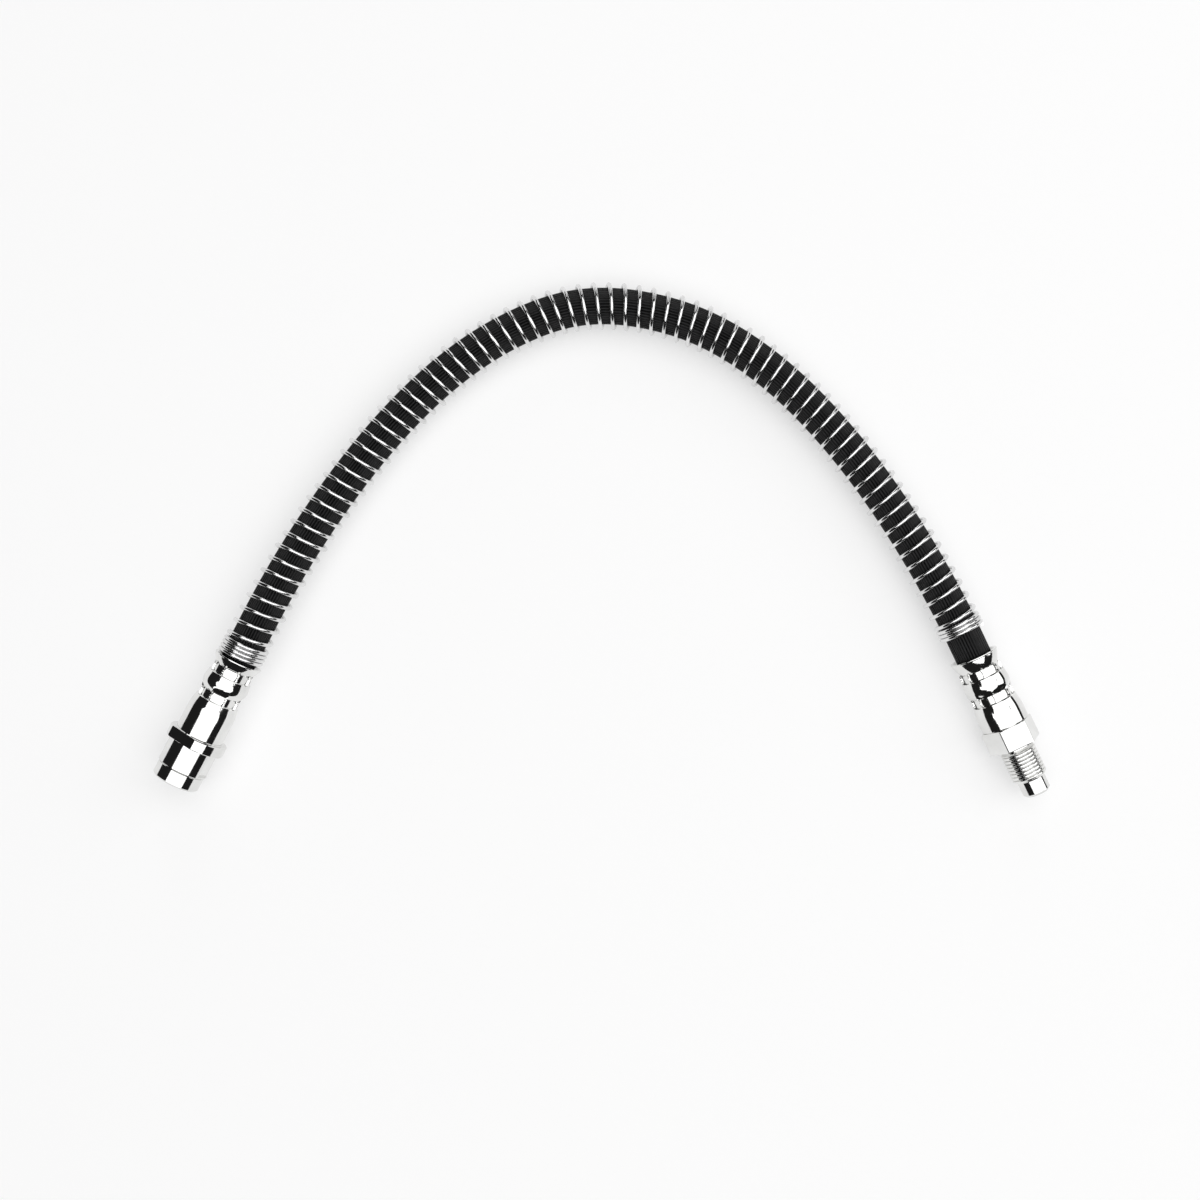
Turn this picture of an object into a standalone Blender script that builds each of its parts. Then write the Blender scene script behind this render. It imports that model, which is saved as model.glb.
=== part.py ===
"""Hydraulic brake hose: a rubber hose inside a wire guard spring, with a crimped steel fitting on each end.

Metres, +Z up. The hose lies flat on a surface, bent into a U: X runs across the U and Y from its open
end to its crown. The origin is on the surface, midway between the two end fittings.
"""

import math

import bmesh
import bpy
import numpy as np
from mathutils import Matrix, Vector

# Hose
HOSE_DIAMETER = 0.0100
HOSE_BORE = 0.0034
HOSE_SIDES = 12
BORE_SIDES = 8
HOSE_STEP = 0.0066

# Route of the free hose between the lips of the two fittings, seen from above
FEMALE_LIP = (-0.1007, 0.0174)
FEMALE_HEADING = math.radians(-117.7)
MALE_LIP = (0.1028, 0.0185)
MALE_HEADING = math.radians(-64.8)
ROUTE = (
    (-0.0934, 0.0316),
    (-0.0823, 0.0509),
    (-0.0696, 0.0692),
    (-0.0552, 0.0861),
    (-0.0386, 0.1008),
    (-0.0192, 0.1117),
    (-0.0085, 0.1149),
    (0.0026, 0.1156),
    (0.0136, 0.1141),
    (0.0242, 0.1110),
    (0.0435, 0.1001),
    (0.0600, 0.0851),
    (0.0741, 0.0680),
    (0.0864, 0.0495),
    (0.0972, 0.0301),
)
SETTLE_LENGTH = 0.060
ROUTE_SAMPLES = 40
TANGENT_REACH = 0.00125

# Guard spring
WIRE_DIAMETER = 0.0011
SPRING_CLEARANCE = 0.0004
SPRING_TURNS = 80.13
FIRST_TOP_TURN = 0.38
FEMALE_CLOSED_TURNS = 3.4
MALE_CLOSED_TURNS = 2.95
OPENING_TURNS = 1.3
CLOSED_GAP = 0.00003
MALE_END_BARE = 0.0064
POINTS_PER_TURN = 10

# Crimped skirt, the same on both fittings. Lengths count from the lip.
SKIRT_CLEARANCE = 0.00035
SKIRT_WALL = 0.0014
SKIRT_DEPTH = 0.0188
LIP_FLARE = 0.00005
LIP_THICKNESS = 0.0003
LIP_LENGTH = 0.0009
LIP_MOUTH = 0.0006
CRIMP_SPACING = 0.0075
CRIMP_DEPTH = 0.00135
CRIMP_SPREAD = 0.0024
CRIMP_ZONE = 0.0170
CRIMP_STATIONS = 14
RIDGE_DROP = 0.0008
RIDGE_LENGTH = 0.0019
PAD_COUNT = 8
PAD_DROP = 0.0015
PAD_WIDTH = 0.0037
PAD_LENGTH = 0.0024
PAD_BEVEL = 0.0002

# Female fitting
FEMALE_FIRST_CRIMP = 0.0039
FEMALE_PAD_TURN = math.radians(-9.6)
FEMALE_LENGTH = 0.0379
COLLAR_START = 0.0234
COLLAR_THICKNESS = 0.0030
COLLAR_DIAMETER = 0.0166
COLLAR_FLAT_STEP = 0.0001
COLLAR_FLAT_TURN = math.radians(22.0)
BODY_DIAMETER = 0.0140
SPIGOT_STEP = 0.00035
SPIGOT_WALL = 0.00215
SPIGOT_LENGTH = 0.0042
SPIGOT_GROOVE = 0.00025
BODY_FLAT_DEPTH = 0.0008
BODY_FLATS_TURN = math.radians(-84.0)
BODY_FLATS_STOP = 0.0006
EDGE_CHAMFER = 0.0005
COLLAR_CHAMFER = 0.0002
SOCKET_DEPTH = 0.0130
SOCKET_CHAMFER = 0.0009
SOCKET_SEAT = 0.0014

# Male fitting
MALE_FIRST_CRIMP = 0.0049
MALE_PAD_TURN = math.radians(-14.0)
HEX_START = 0.0210
HEX_LENGTH = 0.0064
HEX_ACROSS_FLATS = 0.0130
HEX_CHAMFER = 0.0003
HEX_CORE_STEP = 0.0001
BARREL_CHAMFER = 0.0003
RELIEF_DIAMETER = 0.0085
RELIEF_LENGTH = 0.0009
THREAD_DIAMETER = 0.00985
THREAD_LENGTH = 0.0092
THREAD_CHAMFER = 0.0006
NOSE_DIAMETER = 0.0078
NOSE_LENGTH = 0.0044
NOSE_CHAMFER = 0.0007
NOSE_COUNTERSINK = 0.0006

# Fluid way and the inserts inside the hose
FLUID_BORE = 0.0025
INSERT_BORE = 0.0016
INSERT_FLANGE = 0.0010
INSERT_TIP = 0.0030
INSERT_CHAMFER = 0.0002
INSERT_STEPS = 16

FITTING_STEPS = 24
TOUCH_GAP = 0.0003
MERGE_DISTANCE = 0.000001

HOSE_RADIUS = HOSE_DIAMETER / 2
WIRE_RADIUS = WIRE_DIAMETER / 2
SPRING_RADIUS = HOSE_RADIUS + SPRING_CLEARANCE + WIRE_DIAMETER
SKIRT_BORE_RADIUS = HOSE_RADIUS + SKIRT_CLEARANCE
SKIRT_RADIUS = SKIRT_BORE_RADIUS + SKIRT_WALL
LIP_RADIUS = SKIRT_RADIUS + LIP_FLARE
BODY_FLAT_DISTANCE = BODY_DIAMETER / 2 - BODY_FLAT_DEPTH
COLLAR_FLAT_DISTANCE = BODY_DIAMETER / 2 + COLLAR_FLAT_STEP
HEX_CORE_RADIUS = HEX_ACROSS_FLATS / 2 - HEX_CORE_STEP
FEMALE_HEIGHT = max(COLLAR_DIAMETER / 2, LIP_RADIUS, SPRING_RADIUS)
MALE_HEIGHT = max(HEX_ACROSS_FLATS / 2, LIP_RADIUS, SPRING_RADIUS)
FLANGE_START = SKIRT_DEPTH - TOUCH_GAP - INSERT_FLANGE
HOSE_IN_SKIRT = FLANGE_START - TOUCH_GAP
UP = Vector((0, 0, 1))


# Scene, collections and materials
def clear_scene():
    for obj in list(bpy.data.objects):
        bpy.data.objects.remove(obj, do_unlink=True)


def new_collection(name):
    collection = bpy.data.collections.new(name)
    bpy.context.scene.collection.children.link(collection)
    return collection


def material(name, colour, metallic, roughness):
    made = bpy.data.materials.new(name)
    made.use_nodes = True
    shader = made.node_tree.nodes["Principled BSDF"]
    shader.inputs["Base Color"].default_value = (*colour, 1)
    shader.inputs["Metallic"].default_value = metallic
    shader.inputs["Roughness"].default_value = roughness
    return made


def link(name, data, collection, matrix=None):
    obj = bpy.data.objects.new(name, data)
    collection.objects.link(obj)
    if matrix is not None:
        obj.matrix_world = matrix
    return obj


def hide(cutter):
    cutter.hide_render = True
    cutter.display_type = "WIRE"


def link_cutter(name, data, cutters, matrix):
    cutter = link(name, data, cutters, matrix)
    hide(cutter)
    return cutter


# Turned shapes, tubes and cuts
def turned(name, profile, collection, matrix, steps):
    """A ring or a solid of revolution about local Z, from an outline of (radius, height) points."""
    mesh = bpy.data.meshes.new(name)
    points = [(radius, 0, height) for radius, height in profile]
    edges = [(i, (i + 1) % len(points)) for i in range(len(points))]
    mesh.from_pydata(points, edges, [])
    obj = link(name, mesh, collection, matrix)
    screw = obj.modifiers.new("Turn", "SCREW")
    screw.axis = "Z"
    screw.steps = steps
    screw.render_steps = steps
    screw.use_merge_vertices = True
    screw.merge_threshold = MERGE_DISTANCE
    return obj


def bool_with(obj, tool, operation, solver="EXACT"):
    modifier = obj.modifiers.new(tool.name, "BOOLEAN")
    modifier.operation = operation
    modifier.solver = solver
    modifier.object = tool


def box_mesh(name, sizes, places, bevel=0.0):
    """Boxes of one size in one mesh, one at each local placement matrix."""
    bm = bmesh.new()
    for place in places:
        made = bmesh.ops.create_cube(bm, size=1, matrix=place @ Matrix.Diagonal((*sizes, 1)))
        if bevel:
            edges = list({edge for vert in made["verts"] for edge in vert.link_edges})
            bmesh.ops.bevel(bm, geom=edges, offset=bevel, segments=1, affect="EDGES")
    mesh = bpy.data.meshes.new(name)
    bm.to_mesh(mesh)
    bm.free()
    return mesh


def tube_curve(name, points, radii, resolution):
    curve = bpy.data.curves.new(name, "CURVE")
    curve.dimensions = "3D"
    curve.bevel_depth = 1.0
    curve.bevel_resolution = resolution
    curve.use_fill_caps = True
    spline = curve.splines.new("POLY")
    spline.points.add(len(points) - 1)
    for target, point, radius in zip(spline.points, points, radii):
        target.co = (*point, 1)
        target.radius = radius
    return curve


def tube_mesh(name, points, radii, resolution):
    """The same tube as a closed mesh, with its end caps welded on."""
    obj = bpy.data.objects.new(name + "_curve", tube_curve(name, points, radii, resolution))
    bpy.context.scene.collection.objects.link(obj)
    graph = bpy.context.evaluated_depsgraph_get()
    mesh = bpy.data.meshes.new_from_object(obj.evaluated_get(graph))
    bpy.data.objects.remove(obj, do_unlink=True)
    bm = bmesh.new()
    bm.from_mesh(mesh)
    bmesh.ops.remove_doubles(bm, verts=bm.verts, dist=MERGE_DISTANCE)
    bmesh.ops.recalc_face_normals(bm, faces=bm.faces)
    bm.to_mesh(mesh)
    bm.free()
    return mesh


def shade_round(obj, surface):
    obj.data.materials.append(surface)
    if obj.type == "MESH":
        obj.data.shade_smooth()
    else:
        for spline in obj.data.splines:
            spline.use_smooth = True


# Route of the hose
def heading_vector(angle):
    return np.array((math.cos(angle), math.sin(angle)))


def ease(value):
    value = min(1.0, max(0.0, value))
    return value * value * (3 - 2 * value)


def spline_tangents(points, spans, first, last):
    """Tangents of the smooth cubic curve through the points, with the end tangents given."""
    count = len(points)
    system = np.eye(count)
    right = np.zeros((count, 2))
    right[0] = first
    right[-1] = last
    for i in range(1, count - 1):
        before, after = spans[i - 1], spans[i]
        system[i, i - 1 : i + 2] = (1 / before, 2 / before + 2 / after, 1 / after)
        rise = (points[i] - points[i - 1]) / before**2
        right[i] = 3 * (rise + (points[i + 1] - points[i]) / after**2)
    return np.linalg.solve(system, right)


def plan_curve():
    """Dense points of the free hose's centreline from the female lip to the male lip, from above."""
    points = np.array((FEMALE_LIP, *ROUTE, MALE_LIP))
    spans = np.linalg.norm(np.diff(points, axis=0), axis=1)
    first, last = -heading_vector(FEMALE_HEADING), heading_vector(MALE_HEADING)
    tangents = spline_tangents(points, spans, first, last)
    dense = [points[0]]
    for i, span in enumerate(spans):
        for step in range(1, ROUTE_SAMPLES + 1):
            t = step / ROUTE_SAMPLES
            start = (1 + 2 * t) * (1 - t) ** 2 * points[i] + t * (1 - t) ** 2 * span * tangents[i]
            end = t * t * (3 - 2 * t) * points[i + 1] + t * t * (t - 1) * span * tangents[i + 1]
            dense.append(start + end)
    return np.array(dense)


class Route:
    """The free hose's centreline, looked up by its length from the female lip."""

    def __init__(self):
        plan = plan_curve()
        steps = np.linalg.norm(np.diff(plan, axis=0), axis=1)
        self.stations = np.concatenate(((0.0,), np.cumsum(steps)))
        self.length = float(self.stations[-1])
        heights = [self.height(s) for s in self.stations]
        self.points = np.column_stack((plan, heights))

    def height(self, s):
        at_female = (FEMALE_HEIGHT - SPRING_RADIUS) * ease(1 - s / SETTLE_LENGTH)
        at_male = (MALE_HEIGHT - SPRING_RADIUS) * ease(1 - (self.length - s) / SETTLE_LENGTH)
        return SPRING_RADIUS + at_female + at_male

    def point(self, s):
        return Vector([np.interp(s, self.stations, self.points[:, axis]) for axis in range(3)])

    def frame(self, s):
        """The centre, the way up and the way to the right when looking along the hose."""
        ahead = self.point(min(s + TANGENT_REACH, self.length))
        along = (ahead - self.point(max(s - TANGENT_REACH, 0.0))).normalized()
        right = along.cross(UP).normalized()
        return self.point(s), right.cross(along), right


def fitting_matrix(lip, height, heading):
    """Local +Z runs from the lip to the free end and local +X up."""
    along = Vector((*heading_vector(heading), 0))
    side = along.cross(UP)
    axes = Matrix((UP, side, along)).transposed().to_4x4()
    return Matrix.Translation((*lip, height)) @ axes


# Crimped skirt
def skirt_radius(z, first_crimp):
    """Outer radius of the skirt, drawn in smoothly at its two crimps."""
    pinch = sum(
        math.exp(-(((z - centre) / CRIMP_SPREAD) ** 2))
        for centre in (first_crimp, first_crimp + CRIMP_SPACING)
    )
    return SKIRT_RADIUS - CRIMP_DEPTH * pinch


def crimp_stations():
    step = (CRIMP_ZONE - LIP_LENGTH) / (CRIMP_STATIONS - 1)
    return [LIP_LENGTH + step * i for i in range(CRIMP_STATIONS)]


def skirt_outside(first_crimp):
    """From the plain barrel down to the lip."""
    outside = [(skirt_radius(z, first_crimp), z) for z in reversed(crimp_stations())]
    outside.append((LIP_RADIUS, LIP_THICKNESS))
    outside.append((LIP_RADIUS, 0.0))
    return outside


def skirt_inside(first_crimp):
    """From the lip's mouth up to the bottom of the cavity."""
    inside = [(SKIRT_BORE_RADIUS + LIP_MOUTH, 0.0)]
    inside += [(skirt_radius(z, first_crimp) - SKIRT_WALL, z) for z in crimp_stations()]
    inside.append((SKIRT_BORE_RADIUS, SKIRT_DEPTH))
    return inside


def squeezed_radius(z, first_crimp):
    """Outer radius of the hose at a depth inside the skirt."""
    return min(HOSE_RADIUS, skirt_radius(z, first_crimp) - SKIRT_WALL - TOUCH_GAP)


def press_crimps(fitting, first_crimp, pad_turn, cutters):
    """Two rings of pressed pads with ridges left standing between them."""
    matrix = fitting.matrix_world
    ridge_radius = SKIRT_RADIUS - RIDGE_DROP
    seat_radius = SKIRT_RADIUS - CRIMP_DEPTH - SKIRT_WALL / 2
    pad_distance = SKIRT_RADIUS - PAD_DROP + ridge_radius / 2
    centres = (first_crimp, first_crimp + CRIMP_SPACING)
    for ring, centre in enumerate(centres, start=1):
        top, bottom = centre + RIDGE_LENGTH / 2, centre - RIDGE_LENGTH / 2
        outline = [(ridge_radius, top), (ridge_radius, bottom), (seat_radius, bottom), (seat_radius, top)]
        band = turned(f"{fitting.name}_ridges_{ring}", outline, cutters, matrix, FITTING_STEPS)
        hide(band)
        bool_with(fitting, band, "UNION", "MANIFOLD")
    places = [
        Matrix.Rotation(pad_turn + math.tau * pad / PAD_COUNT, 4, "Z")
        @ Matrix.Translation((pad_distance, 0, centre))
        for centre in centres
        for pad in range(PAD_COUNT)
    ]
    pads = box_mesh(fitting.name + "_pads", (ridge_radius, PAD_WIDTH, PAD_LENGTH), places, PAD_BEVEL)
    bool_with(fitting, link_cutter(fitting.name + "_pads", pads, cutters, matrix), "DIFFERENCE", "MANIFOLD")


# Fittings
def female_fitting(steel, parts, cutters):
    matrix = fitting_matrix(FEMALE_LIP, FEMALE_HEIGHT, FEMALE_HEADING)
    body, collar, fluid = BODY_DIAMETER / 2, COLLAR_DIAMETER / 2, FLUID_BORE / 2
    spigot = body - SPIGOT_STEP
    socket = spigot - SPIGOT_WALL
    shoulder = FEMALE_LENGTH - SPIGOT_LENGTH
    collar_end = COLLAR_START + COLLAR_THICKNESS
    bottom = FEMALE_LENGTH - SOCKET_DEPTH
    profile = [
        (socket + SOCKET_CHAMFER, FEMALE_LENGTH),
        (spigot - EDGE_CHAMFER, FEMALE_LENGTH),
        (spigot, FEMALE_LENGTH - EDGE_CHAMFER),
        (spigot, shoulder + SPIGOT_GROOVE),
        (spigot - SPIGOT_GROOVE, shoulder),
        (body, shoulder - SPIGOT_GROOVE),
        (body, collar_end),
        (collar - COLLAR_CHAMFER, collar_end),
        (collar, collar_end - COLLAR_CHAMFER),
        (collar, COLLAR_START + COLLAR_CHAMFER),
        (collar - COLLAR_CHAMFER, COLLAR_START),
        (SKIRT_RADIUS, COLLAR_START),
        *skirt_outside(FEMALE_FIRST_CRIMP),
        *skirt_inside(FEMALE_FIRST_CRIMP),
        (fluid, SKIRT_DEPTH),
        (fluid, bottom),
        (socket, bottom + SOCKET_SEAT),
        (socket, FEMALE_LENGTH - SOCKET_CHAMFER),
    ]
    fitting = turned("female_fitting", profile, parts, matrix, FITTING_STEPS)
    press_crimps(fitting, FEMALE_FIRST_CRIMP, FEMALE_PAD_TURN, cutters)

    reach = COLLAR_DIAMETER
    flat_place = Matrix.Rotation(COLLAR_FLAT_TURN, 4, "Z") @ Matrix.Translation(
        (COLLAR_FLAT_DISTANCE + reach / 2, 0, (COLLAR_START + collar_end) / 2)
    )
    flat_length = COLLAR_THICKNESS + EDGE_CHAMFER
    flat = box_mesh("collar_flat", (reach, 2 * reach, flat_length), [flat_place])
    bool_with(fitting, link_cutter("collar_flat", flat, cutters, matrix), "DIFFERENCE")

    flats_end = shoulder - BODY_FLATS_STOP
    places = [
        Matrix.Rotation(BODY_FLATS_TURN + side, 4, "Z")
        @ Matrix.Translation((BODY_FLAT_DISTANCE + reach / 2, 0, (collar_end + flats_end) / 2))
        for side in (0.0, math.pi)
    ]
    flats = box_mesh("body_flats", (reach, reach, flats_end - collar_end), places)
    bool_with(fitting, link_cutter("body_flats", flats, cutters, matrix), "DIFFERENCE")
    shade_round(fitting, steel)


def male_fitting(steel, parts, cutters):
    matrix = fitting_matrix(MALE_LIP, MALE_HEIGHT, MALE_HEADING)
    hex_end = HEX_START + HEX_LENGTH
    relief_end = hex_end + RELIEF_LENGTH
    thread_end = relief_end + THREAD_LENGTH
    tip = thread_end + NOSE_LENGTH
    thread, nose, fluid = THREAD_DIAMETER / 2, NOSE_DIAMETER / 2, FLUID_BORE / 2
    relief = RELIEF_DIAMETER / 2
    profile = [
        (fluid + NOSE_COUNTERSINK, tip),
        (nose - NOSE_CHAMFER, tip),
        (nose, tip - NOSE_CHAMFER),
        (nose, thread_end),
        (thread - THREAD_CHAMFER, thread_end),
        (thread, thread_end - THREAD_CHAMFER),
        (thread, relief_end + THREAD_CHAMFER),
        (relief, relief_end),
        (relief, (HEX_START + hex_end) / 2),
        (HEX_CORE_RADIUS, (HEX_START + hex_end) / 2),
        (HEX_CORE_RADIUS, HEX_START),
        (SKIRT_RADIUS, HEX_START - BARREL_CHAMFER),
        *skirt_outside(MALE_FIRST_CRIMP),
        *skirt_inside(MALE_FIRST_CRIMP),
        (fluid, SKIRT_DEPTH),
        (fluid, tip - NOSE_COUNTERSINK),
    ]
    fitting = turned("male_fitting", profile, parts, matrix, FITTING_STEPS)
    press_crimps(fitting, MALE_FIRST_CRIMP, MALE_PAD_TURN, cutters)

    hexagon = hex_collar(cutters, matrix)
    bool_with(fitting, hexagon, "UNION")
    shade_round(fitting, steel)


def hex_collar(cutters, matrix):
    """The hexagon as a ring, with its corners chamfered, a flat on top and one on the bottom."""
    corner = HEX_ACROSS_FLATS / math.sqrt(3)
    bm = bmesh.new()
    middle = Matrix.Translation((0, 0, HEX_START + HEX_LENGTH / 2))
    bmesh.ops.create_cone(
        bm, cap_ends=True, segments=6, radius1=corner, radius2=corner, depth=HEX_LENGTH, matrix=middle
    )
    rims = [edge for edge in bm.edges if abs(edge.verts[0].co.z - edge.verts[1].co.z) < HEX_CHAMFER]
    bmesh.ops.bevel(bm, geom=rims, offset=HEX_CHAMFER, segments=1, affect="EDGES")
    mesh = bpy.data.meshes.new("hex_collar")
    bm.to_mesh(mesh)
    bm.free()
    hexagon = link_cutter("hex_collar", mesh, cutters, matrix)
    fluid = (FLUID_BORE + RELIEF_DIAMETER) / 4
    low, high = HEX_START - HEX_LENGTH, HEX_START + 2 * HEX_LENGTH
    outline = [(fluid, high), (fluid, low), (0, low), (0, high)]
    core = turned("hex_core", outline, cutters, matrix, FITTING_STEPS)
    hide(core)
    bool_with(hexagon, core, "DIFFERENCE")
    return hexagon


def insert(name, lip, height, heading, steel, parts):
    """A flanged tube inside the hose end, seated in the bottom of the skirt."""
    stem = HOSE_BORE / 2 - TOUCH_GAP
    flange = SKIRT_BORE_RADIUS - TOUCH_GAP
    flange_end = FLANGE_START + INSERT_FLANGE
    bore = INSERT_BORE / 2
    profile = [
        (bore, flange_end),
        (flange, flange_end),
        (flange, FLANGE_START),
        (stem, FLANGE_START),
        (stem, INSERT_TIP + INSERT_CHAMFER),
        (stem - INSERT_CHAMFER, INSERT_TIP),
        (bore, INSERT_TIP),
    ]
    made = turned(name, profile, parts, fitting_matrix(lip, height, heading), INSERT_STEPS)
    shade_round(made, steel)


# Hose and spring
def hose_line(route):
    """Centre points and outer radii from inside the female skirt to inside the male skirt."""
    depths = [HOSE_IN_SKIRT - (HOSE_IN_SKIRT * i / CRIMP_STATIONS) for i in range(CRIMP_STATIONS)]
    female = fitting_matrix(FEMALE_LIP, FEMALE_HEIGHT, FEMALE_HEADING)
    male = fitting_matrix(MALE_LIP, MALE_HEIGHT, MALE_HEADING)
    points = [female @ Vector((0, 0, z)) for z in depths]
    radii = [squeezed_radius(z, FEMALE_FIRST_CRIMP) for z in depths]
    free_steps = round(route.length / HOSE_STEP)
    for i in range(free_steps + 1):
        points.append(route.point(route.length * i / free_steps))
        radii.append(HOSE_RADIUS)
    radii[len(depths)] = squeezed_radius(0.0, FEMALE_FIRST_CRIMP)
    radii[-1] = squeezed_radius(0.0, MALE_FIRST_CRIMP)
    for z in reversed(depths):
        points.append(male @ Vector((0, 0, z)))
        radii.append(squeezed_radius(z, MALE_FIRST_CRIMP))
    return points, radii


def brake_hose(route, rubber, parts, cutters):
    points, radii = hose_line(route)
    mesh = tube_mesh("brake_hose", points, radii, (HOSE_SIDES - 4) // 2)
    hose = link("brake_hose", mesh, parts)
    overrun = HOSE_DIAMETER
    first = points[0] + (points[0] - points[1]).normalized() * overrun
    last = points[-1] + (points[-1] - points[-2]).normalized() * overrun
    way = [first, *points, last]
    bore = tube_mesh("hose_bore", way, [HOSE_BORE / 2] * len(way), (BORE_SIDES - 4) // 2)
    bool_with(hose, link_cutter("hose_bore", bore, cutters, Matrix.Identity(4)), "DIFFERENCE")
    shade_round(hose, rubber)


def coil_stations(length):
    """Length along the hose at each point of the wire: closed turns at both ends, open ones between."""
    steps = round(SPRING_TURNS * POINTS_PER_TURN)
    turn = SPRING_TURNS / steps
    opening = []
    for i in range(steps):
        done = (i + 0.5) * turn
        after_start = ease((done - FEMALE_CLOSED_TURNS) / OPENING_TURNS)
        before_end = ease((SPRING_TURNS - MALE_CLOSED_TURNS - done) / OPENING_TURNS)
        opening.append(after_start * before_end)
    closed = (WIRE_DIAMETER + CLOSED_GAP) * turn
    extra = (length - closed * steps) / sum(opening)
    return np.concatenate(((0.0,), np.cumsum([closed + extra * share for share in opening]))), turn


def guard_spring(route, steel, parts):
    """A right-handed coil of round wire that rides on the hose from lip to lip."""
    start = TOUCH_GAP + WIRE_RADIUS
    end = route.length - MALE_END_BARE - WIRE_RADIUS
    stations, turn = coil_stations(end - start)
    coil_radius = SPRING_RADIUS - WIRE_RADIUS
    points = []
    for i, station in enumerate(stations):
        angle = math.tau * (i * turn - FIRST_TOP_TURN)
        centre, up, right = route.frame(start + station)
        points.append(centre + coil_radius * (math.cos(angle) * up + math.sin(angle) * right))
    curve = tube_curve("guard_spring", points, [WIRE_RADIUS] * len(points), 1)
    shade_round(link("guard_spring", curve, parts), steel)


def main():
    clear_scene()
    parts = new_collection("brake_hose_assembly")
    cutters = new_collection("cutters")
    rubber = material("hose_rubber", (0.016, 0.016, 0.017), 0.0, 0.55)
    plated = material("plated_steel", (0.82, 0.82, 0.81), 1.0, 0.16)
    wire = material("spring_steel", (0.78, 0.78, 0.78), 1.0, 0.22)
    dull = material("insert_steel", (0.62, 0.62, 0.60), 1.0, 0.35)
    route = Route()
    brake_hose(route, rubber, parts, cutters)
    guard_spring(route, wire, parts)
    female_fitting(plated, parts, cutters)
    male_fitting(plated, parts, cutters)
    insert("female_insert", FEMALE_LIP, FEMALE_HEIGHT, FEMALE_HEADING, dull, parts)
    insert("male_insert", MALE_LIP, MALE_HEIGHT, MALE_HEADING, dull, parts)


main()
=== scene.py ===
"""Looks of a hydraulic brake hose: ribbed rubber, a bright guard spring and two plated, crimped fittings."""

import math

import bmesh
import bpy
import numpy as np
from mathutils import Matrix, Vector


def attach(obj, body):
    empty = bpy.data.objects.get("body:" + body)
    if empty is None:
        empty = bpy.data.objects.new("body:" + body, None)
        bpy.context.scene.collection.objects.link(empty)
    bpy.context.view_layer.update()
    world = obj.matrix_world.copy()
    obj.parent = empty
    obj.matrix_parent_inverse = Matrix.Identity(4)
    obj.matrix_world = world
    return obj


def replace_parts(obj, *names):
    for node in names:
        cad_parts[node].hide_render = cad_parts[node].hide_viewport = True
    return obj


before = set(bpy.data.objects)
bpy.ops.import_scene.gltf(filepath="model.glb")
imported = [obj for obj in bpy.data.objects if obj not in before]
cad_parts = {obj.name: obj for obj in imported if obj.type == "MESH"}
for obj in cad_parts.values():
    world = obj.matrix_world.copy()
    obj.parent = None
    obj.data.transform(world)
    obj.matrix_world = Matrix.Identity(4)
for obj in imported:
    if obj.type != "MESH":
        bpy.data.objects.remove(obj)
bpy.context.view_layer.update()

# Hose and its route, seen from above
HOSE_RADIUS = 0.0050
HOSE_BORE_RADIUS = 0.0017
HOSE_RIBS = 36
RIB_SHAPE = (0.0, 0.00005, 0.00028, 0.00005)
HOSE_STEP = 0.0015
BORE_SIDES = 24
HELD_RINGS = 12
HELD_FIRST_DEPTH = 0.0013
HELD_GAP = 0.0003
FEMALE_LIP = (-0.1007, 0.0174)
FEMALE_HEADING = math.radians(-117.7)
MALE_LIP = (0.1028, 0.0185)
MALE_HEADING = math.radians(-64.8)
ROUTE = (
    (-0.0934, 0.0316), (-0.0823, 0.0509), (-0.0696, 0.0692), (-0.0552, 0.0861), (-0.0386, 0.1008),
    (-0.0192, 0.1117), (-0.0085, 0.1149), (0.0026, 0.1156), (0.0136, 0.1141), (0.0242, 0.1110),
    (0.0435, 0.1001), (0.0600, 0.0851), (0.0741, 0.0680), (0.0864, 0.0495), (0.0972, 0.0301),
)
SETTLE_LENGTH = 0.060
TANGENT_REACH = 0.00125

# Guard spring
WIRE_RADIUS = 0.00055
SPRING_RADIUS = 0.0065
SPRING_TURNS = 80.13
FIRST_TOP_TURN = 0.38
FEMALE_CLOSED_TURNS = 3.4
MALE_CLOSED_TURNS = 2.95
OPENING_TURNS = 1.3
CLOSED_GAP = 0.00003
FEMALE_END_GAP = 0.0003
MALE_END_BARE = 0.0064
POINTS_PER_TURN = 36

# Crimped skirt, with lengths counted from the lip. Two rings of pads are pressed in it: the metal dips
# round each ring, runs in to it on the lip's side, and stands up in a ridge between two pads.
SKIRT_RADIUS = 0.00675
SKIRT_BORE_RADIUS = 0.00535
SKIRT_WALL = 0.0014
SKIRT_DEPTH = 0.0188
LIP_RADIUS = 0.0068
LIP_MOUTH = 0.0006
LIP_LENGTH = 0.00042
CRIMP_SPACING = 0.0075
CRIMP_DEPTH = 0.00135
CRIMP_SPREAD = 0.0024
CRIMP_ZONE = 0.0170
PAD_COUNT = 8
PAD_DISTANCE = 0.00525
PAD_CURVE_RADIUS = 0.0082
PAD_HALF_LENGTH = 0.0012
PAD_EDGE = 0.00010
RIDGE_RADIUS = 0.00595
RIDGE_HALF_DEGREES = 2.2
RIDGE_FLARE_DEGREES = 2.5
RIDGE_EDGE_DEGREES = 1.0
DIP_DEPTH = 0.00077
DIP_SPREAD = 0.0028
RUN_IN_DEPTH = 0.00054
RUN_IN_SPREAD = 0.0011
SKIRT_END = 0.0186
ROW_STEP = 0.0001
COLUMNS_BESIDE_RIDGE = (1.0, 2.0, 3.0, 4.0, 5.2, 6.6, 8.8, 11.8, 15.4, 19.0)
COLUMN_CLEARANCE = 0.006
FEMALE_FIRST_CRIMP = 0.0039
FEMALE_PAD_TURN = math.radians(-9.6)
FEMALE_HEIGHT = 0.0083
MALE_FIRST_CRIMP = 0.0049
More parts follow.
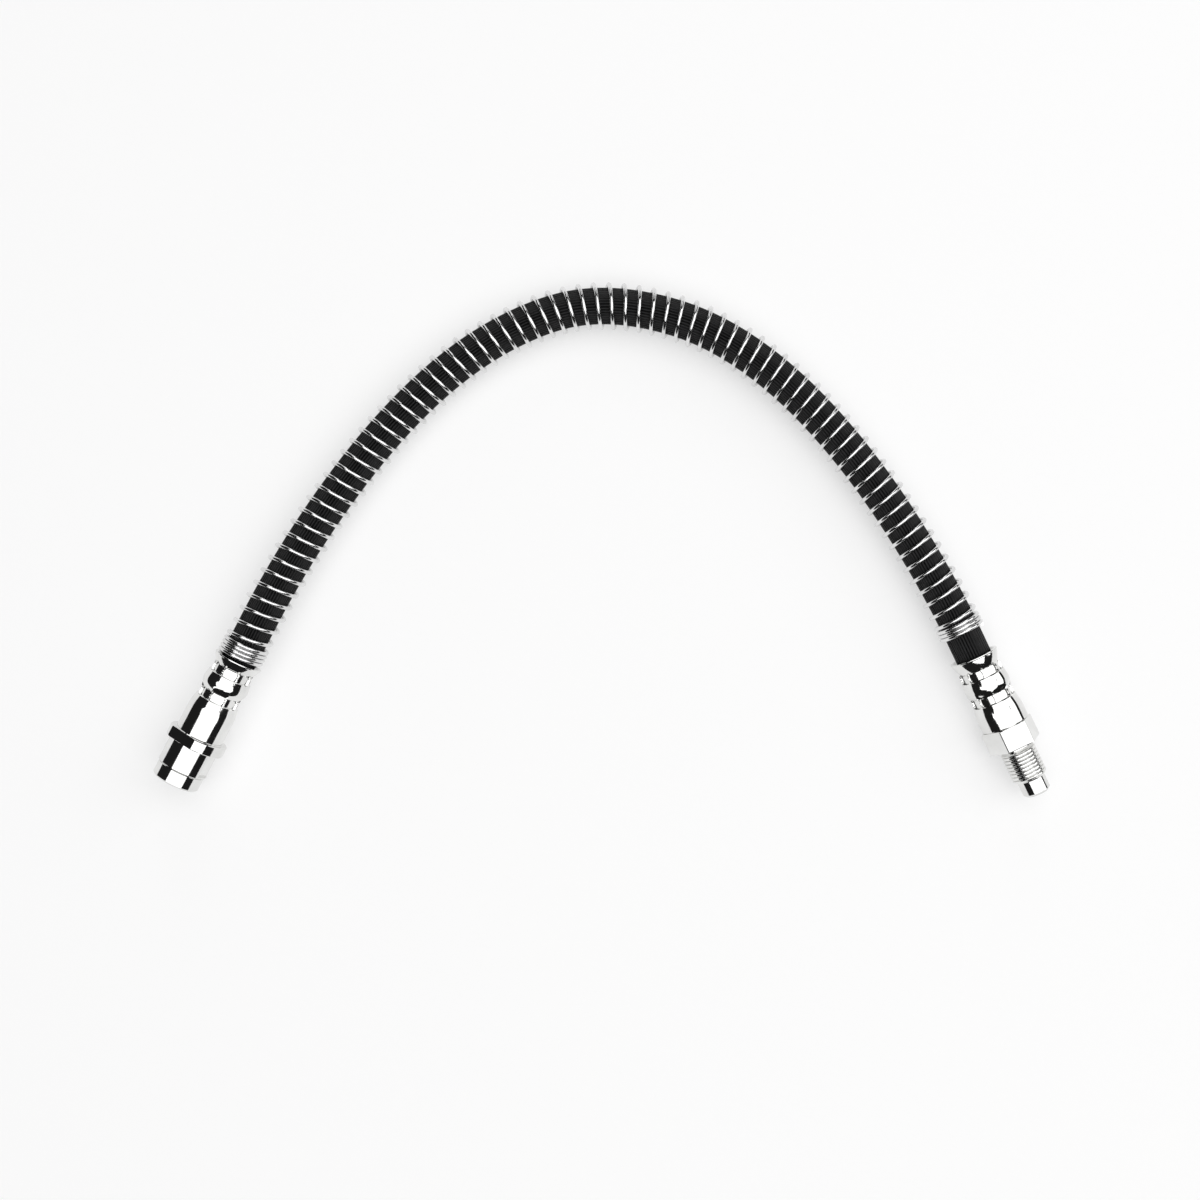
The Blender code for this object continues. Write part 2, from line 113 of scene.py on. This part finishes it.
MALE_PAD_TURN = math.radians(-14.0)
MALE_HEIGHT = 0.0068
FLUID_RADIUS = 0.00125
THREAD_PITCH = 0.001
THREAD_STEP = 0.00005

# Funnel from the lip to the first crimp: its slope at the lip, and its radius at the crimp
FEMALE_FUNNEL = (0.40, 0.00540)
MALE_FUNNEL = (0.20, 0.00540)
FUNNEL_START = LIP_RADIUS - 0.00010

# Camera over the part, and the scale of the picture at the height of the hose's axis
VIEW_CENTRE = (-0.0008, 0.0340)
VIEW_HEIGHT = 0.400
AXIS_HEIGHT = 0.0065
FRAME_WIDTH = 1200 / 3600
SENSOR_WIDTH = 36.0

# Softboxes overhead: name, left, right, near and far edges
SOFTBOX_RADIANCE = 1.8
CEILING_HEIGHT = 1.7
CEILING = (
    ("softbox_far", -0.62, 1.36, 0.55, 1.50),
    ("softbox_middle", -1.16, 1.60, -0.45, 0.55),
    ("softbox_near", -1.72, 1.86, -1.05, -0.45),
    ("softbox_corner", -0.20, 1.94, -1.60, -1.05),
)

# Softboxes that stand beside the part: name, width, depth, centre, and the point each faces
STANDING = (
    ("side_softbox", 2.0, 1.4, (2.11, 0.625, 1.30), (0, 0, 0)),
    ("crown_softbox", 0.7, 1.3, (0.0, 2.3, 0.80), (0, 0.1, 0)),
)

# Floor and room
FLOOR_HALF_SIDE = 6.0
FLOOR_DROP = 0.00005
FLOOR_GREY = 0.90
FLOOR_SEEN_GREY = 0.46
FLOOR_SEEN_GLOW = 0.53
FLOOR_FADE = (0.35, 1.1)
ROOM_GREY = 0.014


# Camera
def make_camera():
    data = bpy.data.cameras.new("camera")
    data.sensor_width = SENSOR_WIDTH
    data.lens = SENSOR_WIDTH * VIEW_HEIGHT / FRAME_WIDTH
    data.clip_start = 0.01
    camera = bpy.data.objects.new("camera", data)
    camera.location = (*VIEW_CENTRE, AXIS_HEIGHT + VIEW_HEIGHT)
    bpy.context.scene.collection.objects.link(camera)
    bpy.context.scene.camera = camera


# Route of the hose
def heading_vector(angle):
    return np.array((math.cos(angle), math.sin(angle)))


def ease(value):
    value = np.clip(value, 0.0, 1.0)
    return value * value * (3 - 2 * value)


def plan_curve(samples=60):
    """Dense points of the free hose's centreline from the female lip to the male lip, from above."""
    points = np.array((FEMALE_LIP, *ROUTE, MALE_LIP))
    spans = np.linalg.norm(np.diff(points, axis=0), axis=1)
    count = len(points)
    system, right = np.eye(count), np.zeros((count, 2))
    right[0], right[-1] = -heading_vector(FEMALE_HEADING), heading_vector(MALE_HEADING)
    for i in range(1, count - 1):
        before, after = spans[i - 1], spans[i]
        system[i, i - 1 : i + 2] = (1 / before, 2 / before + 2 / after, 1 / after)
        rise = (points[i] - points[i - 1]) / before**2
        right[i] = 3 * (rise + (points[i + 1] - points[i]) / after**2)
    tangents = np.linalg.solve(system, right)
    dense = [points[0]]
    for i, span in enumerate(spans):
        for t in np.arange(1, samples + 1) / samples:
            start = (1 + 2 * t) * (1 - t) ** 2 * points[i] + t * (1 - t) ** 2 * span * tangents[i]
            end = t * t * (3 - 2 * t) * points[i + 1] + t * t * (t - 1) * span * tangents[i + 1]
            dense.append(start + end)
    return np.array(dense)


class Route:
    """The free hose's centreline, looked up by its length from the female lip."""

    def __init__(self):
        plan = plan_curve()
        steps = np.linalg.norm(np.diff(plan, axis=0), axis=1)
        self.stations = np.concatenate(((0.0,), np.cumsum(steps)))
        self.length = float(self.stations[-1])
        at_female = (FEMALE_HEIGHT - SPRING_RADIUS) * ease(1 - self.stations / SETTLE_LENGTH)
        at_male = (MALE_HEIGHT - SPRING_RADIUS) * ease(1 - (self.length - self.stations) / SETTLE_LENGTH)
        self.points = np.column_stack((plan, SPRING_RADIUS + at_female + at_male))

    def point(self, s):
        return np.column_stack([np.interp(s, self.stations, self.points[:, axis]) for axis in range(3)])

    def frame(self, s):
        """The centres, the ways up and the ways to the right when looking along the hose."""
        s = np.atleast_1d(s)
        ahead = self.point(np.minimum(s + TANGENT_REACH, self.length))
        along = unit(ahead - self.point(np.maximum(s - TANGENT_REACH, 0.0)))
        right = unit(np.cross(along, (0.0, 0.0, 1.0)))
        return self.point(s), np.cross(right, along), right


def unit(vectors):
    return vectors / np.linalg.norm(vectors, axis=-1, keepdims=True)


def fitting_matrix(lip, height, heading):
    """Local +Z runs from the lip to the free end and local +X up."""
    along = Vector((*heading_vector(heading), 0))
    up = Vector((0, 0, 1))
    axes = Matrix((up, along.cross(up), along)).transposed().to_4x4()
    return Matrix.Translation((*lip, height)) @ axes


# Mesh helpers
def new_object(name, data, surface):
    obj = bpy.data.objects.new(name, data)
    obj.data.materials.append(surface)
    bpy.context.scene.collection.objects.link(obj)
    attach(obj, "root")
    return obj


def grid_faces(rows, columns, wrap_rows):
    """Quads of a grid whose columns close on themselves, and whose rows do if asked."""
    last = rows if wrap_rows else rows - 1
    row, column = np.meshgrid(np.arange(last), np.arange(columns), indexing="ij")
    below, beside = (row + 1) % rows, (column + 1) % columns
    row, below = row * columns, below * columns
    corners = (row + column, row + beside, below + beside, below + column)
    return np.stack(corners, axis=-1).reshape(-1, 4)


def finished_mesh(name, points, faces, sharp):
    mesh = bpy.data.meshes.new(name)
    mesh.from_pydata(np.asarray(points).tolist(), [], np.asarray(faces).tolist())
    bm = bmesh.new()
    bm.from_mesh(mesh)
    bmesh.ops.recalc_face_normals(bm, faces=bm.faces)
    bm.to_mesh(mesh)
    bm.free()
    mesh.shade_smooth()
    mesh.set_sharp_from_angle(angle=math.radians(sharp))
    return mesh


def lathe(name, rows, angles, matrix):
    """A closed skin round the matrix's Z, from rows of (height, radius). Either may differ with the angle."""
    points = []
    for height, radius in rows:
        radius = np.broadcast_to(radius, angles.shape)
        height = np.broadcast_to(height, angles.shape)
        points.append(np.column_stack((radius * np.cos(angles), radius * np.sin(angles), height)))
    mesh = finished_mesh(name, np.concatenate(points), grid_faces(len(rows), len(angles), True), 32)
    mesh.transform(matrix)
    return mesh


def folded(angles, centre, span):
    """Angles measured from the nearest of the directions that repeat every span from centre."""
    return (angles - centre + span / 2) % span - span / 2


def flat_cut(angles, radius, centre, distance, span=math.tau):
    """A round of that radius with flats at a distance from the axis, repeated every span."""
    turn = folded(angles, centre, span)
    facing = np.maximum(np.cos(turn), 0.01)
    return np.where(np.cos(turn) > 0, np.minimum(radius, distance / facing), radius)


def flat_edges(radius, centre, distance, span=math.tau):
    half = math.acos(distance / radius)
    count = round(math.tau / span)
    return [centre + span * i + side * half for i in range(count) for side in (-1, 1)]


# Fittings
def skirt_angles(pad_turn, extra):
    """Directions for a fitting's rows: close together at the crimp ridges, and one on each edge of a flat."""
    pad = math.tau / PAD_COUNT
    beside = np.radians(COLUMNS_BESIDE_RIDGE)
    found = []
    for i in range(PAD_COUNT):
        centre = pad_turn + pad * i
        ridge = centre + pad / 2
        found.extend((centre, ridge))
        found.extend(ridge + beside)
        found.extend(ridge - beside)
    found = np.mod(found, math.tau)
    for edge in extra:
        found = found[np.abs(folded(found, edge, math.tau)) > COLUMN_CLEARANCE]
    return np.array(sorted([*found, *np.mod(extra, math.tau)]))


def crimp_centres(first_crimp):
    return first_crimp, first_crimp + CRIMP_SPACING


def plain_skirt(z, first_crimp):
    pinch = sum(math.exp(-(((z - centre) / CRIMP_SPREAD) ** 2)) for centre in crimp_centres(first_crimp))
    return SKIRT_RADIUS - CRIMP_DEPTH * pinch


def funnel_radius(z, first_crimp, funnel):
    """From the lip down to the first ring of pads, ever steeper."""
    slope, low = funnel
    length = first_crimp - PAD_HALF_LENGTH - LIP_LENGTH
    done = (z - LIP_LENGTH) / length
    return FUNNEL_START - slope * length * done - (FUNNEL_START - low - slope * length) * done**2


def pad_radius(turn):
    """A pad is a shallow round, flatter than the barrel."""
    offset = PAD_CURVE_RADIUS - PAD_DISTANCE
    across = offset * np.sin(turn)
    return np.sqrt(PAD_CURVE_RADIUS**2 - across**2) - offset * np.cos(turn)


def crimped_skirt(z, angles, first_crimp, pad_turn, funnel):
    """Radius of the skirt at height z: two rings of pressed pads, with ridges left standing between them."""
    turn = folded(angles, pad_turn, math.tau / PAD_COUNT)
    off_ridge = math.pi / PAD_COUNT - np.abs(turn)
    on_pad = 1 - (np.abs(turn) * PAD_COUNT / math.pi) ** 4
    radius = np.full(angles.shape, SKIRT_RADIUS)
    for centre in crimp_centres(first_crimp):
        away = z - centre
        beyond = max(abs(away) - PAD_HALF_LENGTH, 0.0)
        radius -= DIP_DEPTH * math.exp(-((away / DIP_SPREAD) ** 2))
        if away < 0:
            radius -= RUN_IN_DEPTH * on_pad * math.exp(-((beyond / RUN_IN_SPREAD) ** 2))
    if z < first_crimp - PAD_HALF_LENGTH:
        radius = np.full(angles.shape, funnel_radius(z, first_crimp, funnel))
    for centre in crimp_centres(first_crimp):
        away = abs(z - centre)
        half = math.radians(RIDGE_HALF_DEGREES + RIDGE_FLARE_DEGREES * (away / PAD_HALF_LENGTH) ** 2)
        standing = ease((half - off_ridge) / math.radians(RIDGE_EDGE_DEGREES) + 0.5)
        pad = np.minimum(radius, pad_radius(turn))
        ring = pad + (RIDGE_RADIUS - pad) * standing
        radius = radius + (ring - radius) * ease((PAD_HALF_LENGTH - away) / PAD_EDGE + 0.5)
    return radius


def skirt_rows(angles, first_crimp, pad_turn, funnel):
    """From the bottom of the cavity, round the lip, to the plain barrel."""
    inside = [(z, plain_skirt(z, first_crimp) - SKIRT_WALL) for z in np.linspace(CRIMP_ZONE, 0.0009, 16)]
    rows = [(SKIRT_DEPTH, SKIRT_BORE_RADIUS), *inside]
    rows += [
        (0.0, SKIRT_BORE_RADIUS + LIP_MOUTH),
        (0.0, LIP_RADIUS - 0.00012),
        (0.00006, LIP_RADIUS - 0.00003),
        (0.00015, LIP_RADIUS),
        (0.00028, LIP_RADIUS - 0.00001),
        (0.00036, LIP_RADIUS - 0.00005),
    ]
    for z in np.arange(LIP_LENGTH, SKIRT_END - ROW_STEP, ROW_STEP):
        rows.append((z, crimped_skirt(z, angles, first_crimp, pad_turn, funnel)))
    return rows


def thread_radius(z, angles, major, depth):
    """A right-handed thread's radius: a flat crest, eased shoulders, and steep flanks to a narrow root."""
    place = np.mod(z / THREAD_PITCH - angles / math.tau, 1.0)
    side = np.abs(place - 0.5) * 2
    return major - depth * np.interp(side, (0.42, 0.72, 0.94), (0.0, 0.20, 1.0))


def plain_rows(first, last, radius, hold=0.0003):
    """A straight stretch, with a row close to each end so that it shades as one plane or cylinder."""
    return [(first, radius), (first + hold, radius), (last - hold, radius), (last, radius)]


def female_fitting(steel):
    length, spigot_length = 0.0379, 0.0042
    collar_start, collar_end = 0.0234, 0.0264
    collar, body, spigot = 0.0083, 0.0070, 0.00665
    collar_flat, collar_turn = 0.0071, math.radians(22)
    body_flat, flats_turn = 0.0062, math.radians(-84)
    groove, chamfer, small = 0.00025, 0.0005, 0.0002
    fillet, corner, crease = 0.00012, 0.0001, 0.00002
    socket, socket_depth, socket_mouth, seat = 0.0045, 0.0130, 0.0009, 0.0014
    thread_depth, thread_gap = 0.00042, 0.001
    shoulder = length - spigot_length
    flats_end = shoulder - 0.0006
    keys = flat_edges(collar, collar_turn, collar_flat)
    keys += flat_edges(collar - small, collar_turn, collar_flat)
    keys += flat_edges(body, flats_turn, body_flat, math.pi)
    angles = skirt_angles(FEMALE_PAD_TURN, keys)
    rows = skirt_rows(angles, FEMALE_FIRST_CRIMP, FEMALE_PAD_TURN, FEMALE_FUNNEL)
    rounded = flat_cut(angles, collar, collar_turn, collar_flat)
    eased = flat_cut(angles, collar - small, collar_turn, collar_flat)
    milled = flat_cut(angles, body, flats_turn, body_flat, math.pi)
    rows += plain_rows(SKIRT_END, collar_start - fillet, SKIRT_RADIUS)
    rows += [(collar_start, SKIRT_RADIUS + fillet), (collar_start, eased)]
    rows += plain_rows(collar_start + small, collar_end - small, rounded)
    rows += [(collar_end, eased), (collar_end, milled + corner)]
    rows += plain_rows(collar_end + corner, flats_end, milled)
    rows += plain_rows(flats_end + crease, shoulder - groove, body, 0.0001)
    rows += [(shoulder - crease, body - groove), (shoulder + crease, spigot - groove)]
    rows += plain_rows(shoulder + groove, length - chamfer, spigot)
    rows += [(length, spigot - chamfer), (length, socket + socket_mouth), (length - socket_mouth, socket)]
    bottom = length - socket_depth
    thread_stop = bottom + seat + thread_gap
    for z in np.arange(length - socket_mouth - ROW_STEP, thread_stop, -ROW_STEP):
        rows.append((z, 2 * socket - thread_radius(z, angles, socket, thread_depth)))
    rows += [(thread_stop - ROW_STEP, socket), (bottom + seat, socket), (bottom, FLUID_RADIUS)]
    rows.append((SKIRT_DEPTH, FLUID_RADIUS))
    matrix = fitting_matrix(FEMALE_LIP, FEMALE_HEIGHT, FEMALE_HEADING)
    name = "female_fitting_fine"
    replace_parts(new_object(name, lathe(name, rows, angles, matrix), steel), "female_fitting")


def male_fitting(steel):
    hex_start, hex_end = 0.0210, 0.0274
    half_flats, core, worn_corner = 0.0065, 0.00636, 0.00744
    corner_radius, corner_slope = 0.00712, 1.7
    barrel_chamfer, chamfer, chamfer_slope = 0.0003, 0.00022, 0.6
    edge_depths, seam = (0.0, 0.00011, 0.00022, 0.0005), 0.00001
    relief, relief_end, corner = 0.00425, 0.0283, 0.0001
    major, thread_depth, thread_end = 0.004925, 0.00055, 0.0375
    run_in_slope, run_out_step = 1.2, 0.00005
    nose, nose_chamfer, tip, countersink = 0.0039, 0.0007, 0.0419, 0.0006
    keys = flat_edges(worn_corner, 0.0, half_flats, math.pi / 3)
    angles = skirt_angles(MALE_PAD_TURN, keys)
    rows = skirt_rows(angles, MALE_FIRST_CRIMP, MALE_PAD_TURN, MALE_FUNNEL)
    hexagon = flat_cut(angles, worn_corner, 0.0, half_flats, math.pi / 3)

    def crowned(depth):
        """The hexagon at a depth from either end, with its edges eased and its corners turned down."""
        turned_down = np.minimum(hexagon, corner_radius + corner_slope * depth)
        return turned_down - max(chamfer - depth, 0) * chamfer_slope

    rows += plain_rows(SKIRT_END, hex_start - barrel_chamfer, SKIRT_RADIUS)
    rows.append((hex_start, core))
    rows += [(hex_start + depth + seam, crowned(depth)) for depth in edge_depths]
    rows += [(hex_end - depth, crowned(depth)) for depth in reversed(edge_depths)]
    rows += [(hex_end, relief + corner), (hex_end + corner, relief), (relief_end - corner, relief)]
    for z in np.arange(relief_end, thread_end, THREAD_STEP):
        shape = thread_radius(z, angles, major, thread_depth)
        run_in = relief + corner + run_in_slope * (z - relief_end)
        run_out = nose + run_out_step + (thread_end - z)
        rows.append((z, np.minimum(shape, min(run_in, run_out))))
    rows += plain_rows(thread_end, tip - nose_chamfer, nose)
    rows += [
        (tip, nose - nose_chamfer),
        (tip, FLUID_RADIUS + countersink),
        (tip - countersink, FLUID_RADIUS),
        (SKIRT_DEPTH, FLUID_RADIUS),
    ]
    matrix = fitting_matrix(MALE_LIP, MALE_HEIGHT, MALE_HEADING)
    name = "male_fitting_fine"
    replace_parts(new_object(name, lathe(name, rows, angles, matrix), steel), "male_fitting")


# Hose and spring
def hose_rings(route):
    """Centres, ways up, ways right and outer radii from inside the female skirt to inside the male skirt."""
    depths = np.linspace(CRIMP_ZONE, HELD_FIRST_DEPTH, HELD_RINGS)
    free = np.linspace(0.0, route.length, round(route.length / HOSE_STEP) + 1)
    centres, ups, rights = route.frame(free)
    radii = np.full(len(free), HOSE_RADIUS)
    parts = [(centres, ups, rights, radii)]
    for lip, height, heading, crimp, sign in (
        (FEMALE_LIP, FEMALE_HEIGHT, FEMALE_HEADING, FEMALE_FIRST_CRIMP, 1),
        (MALE_LIP, MALE_HEIGHT, MALE_HEADING, MALE_FIRST_CRIMP, -1),
    ):
        along = np.array((*heading_vector(heading), 0.0))
        order = depths if sign == 1 else depths[::-1]
        middle = np.array((*lip, height)) + order[:, None] * along
        up = np.tile((0.0, 0.0, 1.0), (len(order), 1))
        right = np.cross(-sign * along, up)
        outer = [min(HOSE_RADIUS, plain_skirt(z, crimp) - SKIRT_WALL - HELD_GAP) for z in order]
        end = (middle, up, right, np.array(outer))
        parts = [end, *parts] if sign == 1 else [*parts, end]
    return [np.concatenate(columns) for columns in zip(*parts)]


def ring_points(rings, scale, angles):
    """Points round every centre at the angles, with scale giving the radius at each."""
    centres, ups, rights, _ = rings
    across = np.cos(angles)[None, :, None] * ups[:, None, :]
    across = across + np.sin(angles)[None, :, None] * rights[:, None, :]
    return centres[:, None, :] + scale[..., None] * across


def make_hose(route, rubber):
    rings = hose_rings(route)
    count = HOSE_RIBS * len(RIB_SHAPE)
    around = math.tau * np.arange(count) / count
    groove = np.tile(RIB_SHAPE, HOSE_RIBS)
    outer = ring_points(rings, rings[3][:, None] - groove[None, :], around)
    bore_around = math.tau * np.arange(BORE_SIDES) / BORE_SIDES
    inner = ring_points(rings, np.full((len(outer), BORE_SIDES), HOSE_BORE_RADIUS), bore_around)
    outer_points, inner_points = outer.reshape(-1, 3), inner.reshape(-1, 3)
    outer_faces = grid_faces(len(outer), count, False)
    inner_faces = grid_faces(len(inner), BORE_SIDES, False) + len(outer_points)
    points = np.concatenate((outer_points, inner_points))
    mesh = finished_mesh("ribbed_hose", points, np.concatenate((outer_faces, inner_faces)), 40)
    bm = bmesh.new()
    bm.from_mesh(mesh)
    for centre in (Vector(rings[0][0]), Vector(rings[0][-1])):
        rim = [e for e in bm.edges if e.is_boundary and (e.verts[0].co - centre).length < 2 * HOSE_RADIUS]
        bmesh.ops.bridge_loops(bm, edges=rim)
    bmesh.ops.recalc_face_normals(bm, faces=bm.faces)
    bm.to_mesh(mesh)
    bm.free()
    hose = new_object("ribbed_hose", mesh, rubber)
    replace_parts(hose, "brake_hose")
    return hose, rings[0]


def coil_stations(length):
    """Length along the hose at each point of the wire: closed turns at both ends, open ones between."""
    steps = round(SPRING_TURNS * POINTS_PER_TURN)
    turn = SPRING_TURNS / steps
    done = (np.arange(steps) + 0.5) * turn
    opening = ease((done - FEMALE_CLOSED_TURNS) / OPENING_TURNS)
    opening = opening * ease((SPRING_TURNS - MALE_CLOSED_TURNS - done) / OPENING_TURNS)
    closed = (2 * WIRE_RADIUS + CLOSED_GAP) * turn
    extra = (length - closed * steps) / opening.sum()
    return np.concatenate(((0.0,), np.cumsum(closed + extra * opening))), turn


def make_spring(route, steel):
    start = FEMALE_END_GAP + WIRE_RADIUS
    end = route.length - MALE_END_BARE - WIRE_RADIUS
    stations, turn = coil_stations(end - start)
    centres, ups, rights = route.frame(start + stations)
    angles = math.tau * (np.arange(len(stations)) * turn - FIRST_TOP_TURN)
    spoke = np.cos(angles)[:, None] * ups + np.sin(angles)[:, None] * rights
    points = centres + (SPRING_RADIUS - WIRE_RADIUS) * spoke
    curve = bpy.data.curves.new("guard_spring_fine", "CURVE")
    curve.dimensions = "3D"
    curve.bevel_depth = WIRE_RADIUS
    curve.bevel_resolution = 4
    curve.use_fill_caps = True
    spline = curve.splines.new("POLY")
    spline.points.add(len(points) - 1)
    spline.points.foreach_set("co", np.column_stack((points, np.ones(len(points)))).ravel())
    spline.use_smooth = True
    spring = new_object("guard_spring_fine", curve, steel)
    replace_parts(spring, "guard_spring")
    return spring


# Materials
def grey(value):
    return value, value, value, 1


def new_material(name):
    made = bpy.data.materials.new(name)
    made.use_nodes = True
    return made, made.node_tree.nodes, made.node_tree.links


def noise(nodes, links, scale, detail):
    place = nodes.new("ShaderNodeTexCoord")
    texture = nodes.new("ShaderNodeTexNoise")
    texture.inputs["Scale"].default_value = scale
    texture.inputs["Detail"].default_value = detail
    links.new(place.outputs["Object"], texture.inputs["Vector"])
    return texture.outputs["Fac"]


def ranged(nodes, links, value, low, high, start=0.3, stop=0.7):
    mapped = nodes.new("ShaderNodeMapRange")
    mapped.inputs["From Min"].default_value = start
    mapped.inputs["From Max"].default_value = stop
    mapped.inputs["To Min"].default_value = low
    mapped.inputs["To Max"].default_value = high
    links.new(value, mapped.inputs["Value"])
    return mapped.outputs["Result"]


def tinted(nodes, links, value, dark, light):
    ramp = nodes.new("ShaderNodeValToRGB")
    ramp.color_ramp.elements[0].position = 0.35
    ramp.color_ramp.elements[0].color = (*dark, 1)
    ramp.color_ramp.elements[1].position = 0.65
    ramp.color_ramp.elements[1].color = (*light, 1)
    links.new(value, ramp.inputs["Fac"])
    return ramp.outputs["Color"]


def bumped(nodes, links, value, distance, strength, before=None):
    bump = nodes.new("ShaderNodeBump")
    bump.inputs["Distance"].default_value = distance
    bump.inputs["Strength"].default_value = strength
    links.new(value, bump.inputs["Height"])
    if before is not None:
        links.new(before, bump.inputs["Normal"])
    return bump.outputs["Normal"]


def steel_material(name, dark, light, smooth, rough, ripple):
    made, nodes, links = new_material(name)
    shader = nodes["Principled BSDF"]
    shader.inputs["Metallic"].default_value = 1.0
    tone = noise(nodes, links, 180.0, 3.0)
    links.new(tinted(nodes, links, tone, dark, light), shader.inputs["Base Color"])
    haze = noise(nodes, links, 420.0, 4.0)
    links.new(ranged(nodes, links, haze, smooth, rough), shader.inputs["Roughness"])
    wave = noise(nodes, links, 260.0, 1.0)
    fine = noise(nodes, links, 2600.0, 2.0)
    normal = bumped(nodes, links, wave, ripple, 0.5)
    links.new(bumped(nodes, links, fine, ripple / 12, 0.4, normal), shader.inputs["Normal"])
    return made


def rubber_material():
    made, nodes, links = new_material("hose_rubber_fine")
    shader = nodes["Principled BSDF"]
    shader.inputs["Specular IOR Level"].default_value = 0.18
    tone = noise(nodes, links, 420.0, 4.0)
    colour = tinted(nodes, links, tone, (0.002, 0.002, 0.0022), (0.006, 0.006, 0.0064))
    links.new(colour, shader.inputs["Base Color"])
    haze = noise(nodes, links, 900.0, 3.0)
    links.new(ranged(nodes, links, haze, 0.26, 0.48), shader.inputs["Roughness"])
    grain = noise(nodes, links, 3600.0, 3.0)
    links.new(bumped(nodes, links, grain, 0.00005, 0.6), shader.inputs["Normal"])
    return made


# Floor, light and surroundings
def showing_rays(nodes, links):
    """1 for a ray from the camera, and for one that a surface mirrors or lets through."""
    path = nodes.new("ShaderNodeLightPath")
    showing = path.outputs["Is Camera Ray"]
    for kind in ("Is Glossy Ray", "Is Transmission Ray"):
        either = nodes.new("ShaderNodeMath")
        either.operation = "MAXIMUM"
        links.new(showing, either.inputs[0])
        links.new(path.outputs[kind], either.inputs[1])
        showing = either.outputs["Value"]
    return showing


def make_floor():
    bm = bmesh.new()
    bmesh.ops.create_grid(bm, x_segments=1, y_segments=1, size=FLOOR_HALF_SIDE)
    mesh = bpy.data.meshes.new("floor")
    bm.to_mesh(mesh)
    bm.free()
    floor = bpy.data.objects.new("floor", mesh)
    floor.location = (0, 0, -FLOOR_DROP)
    bpy.context.scene.collection.objects.link(floor)
    made, nodes, links = new_material("floor_paper")
    nodes.remove(nodes["Principled BSDF"])
    paper = nodes.new("ShaderNodeBsdfDiffuse")
    paper.inputs["Color"].default_value = grey(FLOOR_GREY)
    seen = nodes.new("ShaderNodeBsdfDiffuse")
    seen.inputs["Color"].default_value = grey(FLOOR_SEEN_GREY)
    glow = nodes.new("ShaderNodeEmission")
    glow.inputs["Strength"].default_value = FLOOR_SEEN_GLOW
    lifted = nodes.new("ShaderNodeAddShader")
    links.new(seen.outputs["BSDF"], lifted.inputs[0])
    links.new(glow.outputs["Emission"], lifted.inputs[1])
    place = nodes.new("ShaderNodeTexCoord")
    reach = nodes.new("ShaderNodeVectorMath")
    reach.operation = "LENGTH"
    links.new(place.outputs["Object"], reach.inputs[0])
    white = nodes.new("ShaderNodeEmission")
    fade = nodes.new("ShaderNodeMixShader")
    links.new(ranged(nodes, links, reach.outputs["Value"], 0.0, 1.0, *FLOOR_FADE), fade.inputs["Fac"])
    links.new(lifted.outputs["Shader"], fade.inputs[1])
    links.new(white.outputs["Emission"], fade.inputs[2])
    mix = nodes.new("ShaderNodeMixShader")
    links.new(showing_rays(nodes, links), mix.inputs["Fac"])
    links.new(paper.outputs["BSDF"], mix.inputs[1])
    links.new(fade.outputs["Shader"], mix.inputs[2])
    links.new(mix.outputs["Shader"], nodes["Material Output"].inputs["Surface"])
    mesh.materials.append(made)


def softbox(name, width, depth, centre, aim=None):
    """A flat rectangular lamp. It faces straight down, or the point that it is aimed at."""
    data = bpy.data.lights.new(name, "AREA")
    data.shape = "RECTANGLE"
    data.size = width
    data.size_y = depth
    data.energy = SOFTBOX_RADIANCE * math.pi * width * depth
    lamp = bpy.data.objects.new(name, data)
    lamp.location = centre
    if aim is not None:
        lamp.rotation_mode = "QUATERNION"
        lamp.rotation_quaternion = (Vector(aim) - Vector(centre)).to_track_quat("-Z", "Y")
    lamp.visible_camera = False
    bpy.context.scene.collection.objects.link(lamp)


def make_surroundings():
    world = bpy.data.worlds.new("studio")
    bpy.context.scene.world = world
    world.use_nodes = True
    nodes, links = world.node_tree.nodes, world.node_tree.links
    room = nodes["Background"]
    room.inputs["Color"].default_value = grey(ROOM_GREY)
    backdrop = nodes.new("ShaderNodeBackground")
    backdrop.inputs["Color"].default_value = grey(1)
    path = nodes.new("ShaderNodeLightPath")
    mix = nodes.new("ShaderNodeMixShader")
    links.new(path.outputs["Is Camera Ray"], mix.inputs["Fac"])
    links.new(room.outputs["Background"], mix.inputs[1])
    links.new(backdrop.outputs["Background"], mix.inputs[2])
    links.new(mix.outputs["Shader"], nodes["World Output"].inputs["Surface"])
    for name, left, right, near, far in CEILING:
        centre = ((left + right) / 2, (near + far) / 2, CEILING_HEIGHT)
        softbox(name, right - left, far - near, centre)
    for row in STANDING:
        softbox(*row)


def main():
    make_camera()
    route = Route()
    rubber = rubber_material()
    wire = steel_material("spring_steel_fine", (0.68, 0.68, 0.68), (0.77, 0.77, 0.77), 0.10, 0.20, 0.00002)
    plated = steel_material("plated_steel_fine", (0.72, 0.72, 0.71), (0.79, 0.79, 0.78), 0.05, 0.11, 0.00003)
    dull = steel_material("insert_steel_fine", (0.55, 0.55, 0.53), (0.66, 0.66, 0.64), 0.25, 0.40, 0.00002)
    hose, centreline = make_hose(route, rubber)
    spring = make_spring(route, wire)
    female_fitting(plated)
    male_fitting(plated)
    for name in ("female_insert", "male_insert"):
        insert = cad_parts[name]
        insert.data.materials.clear()
        insert.data.materials.append(dull)
    make_floor()
    make_surroundings()
    bpy.context.scene.view_settings.view_transform = "Standard"


main()
